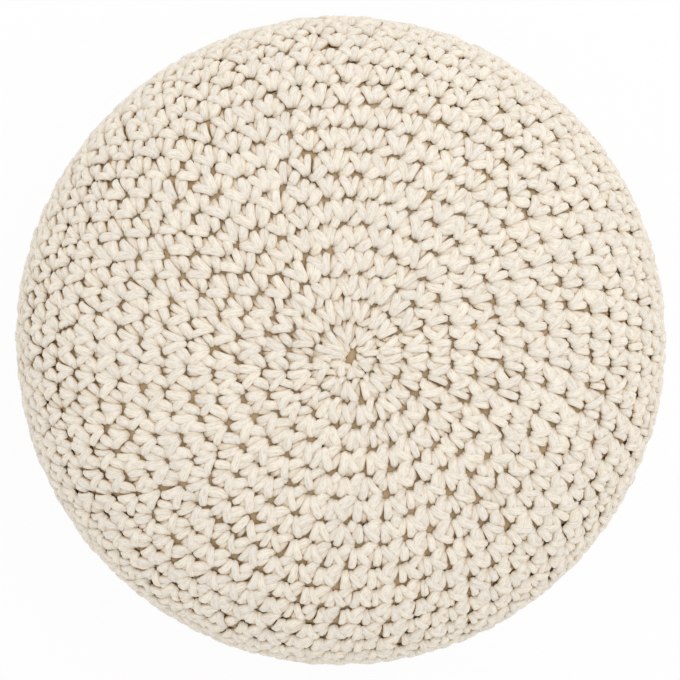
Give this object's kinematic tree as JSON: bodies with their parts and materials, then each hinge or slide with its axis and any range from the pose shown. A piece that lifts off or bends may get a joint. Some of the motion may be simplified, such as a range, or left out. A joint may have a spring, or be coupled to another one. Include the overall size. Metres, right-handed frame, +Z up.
{
  "type": "crocheted round floor pouf",
  "caption": "Round crocheted floor pouf: a cream cover of thick cotton cord worked in one spiral over a filled cushion, with a domed top, rounded rim and flat base.",
  "frame": {"origin": "middle of the flat base, where the pouf rests on the floor", "axes": "+Z up through the starting ring in the middle of the top; +X and +Y lie in the floor and are otherwise arbitrary, since the pouf is round"},
  "size_m": [0.5, 0.5, 0.33],
  "materials": {
    "cotton_cord": "matte soft cotton cord, cream, single crochet",
    "tan_casing": "plain woven cotton casing, tan, seen only through the gaps"
  },
  "bodies": {
    "root": {"crochet_cover": "cotton_cord", "filled_cushion": "tan_casing"}
  },
  "joints": []
}
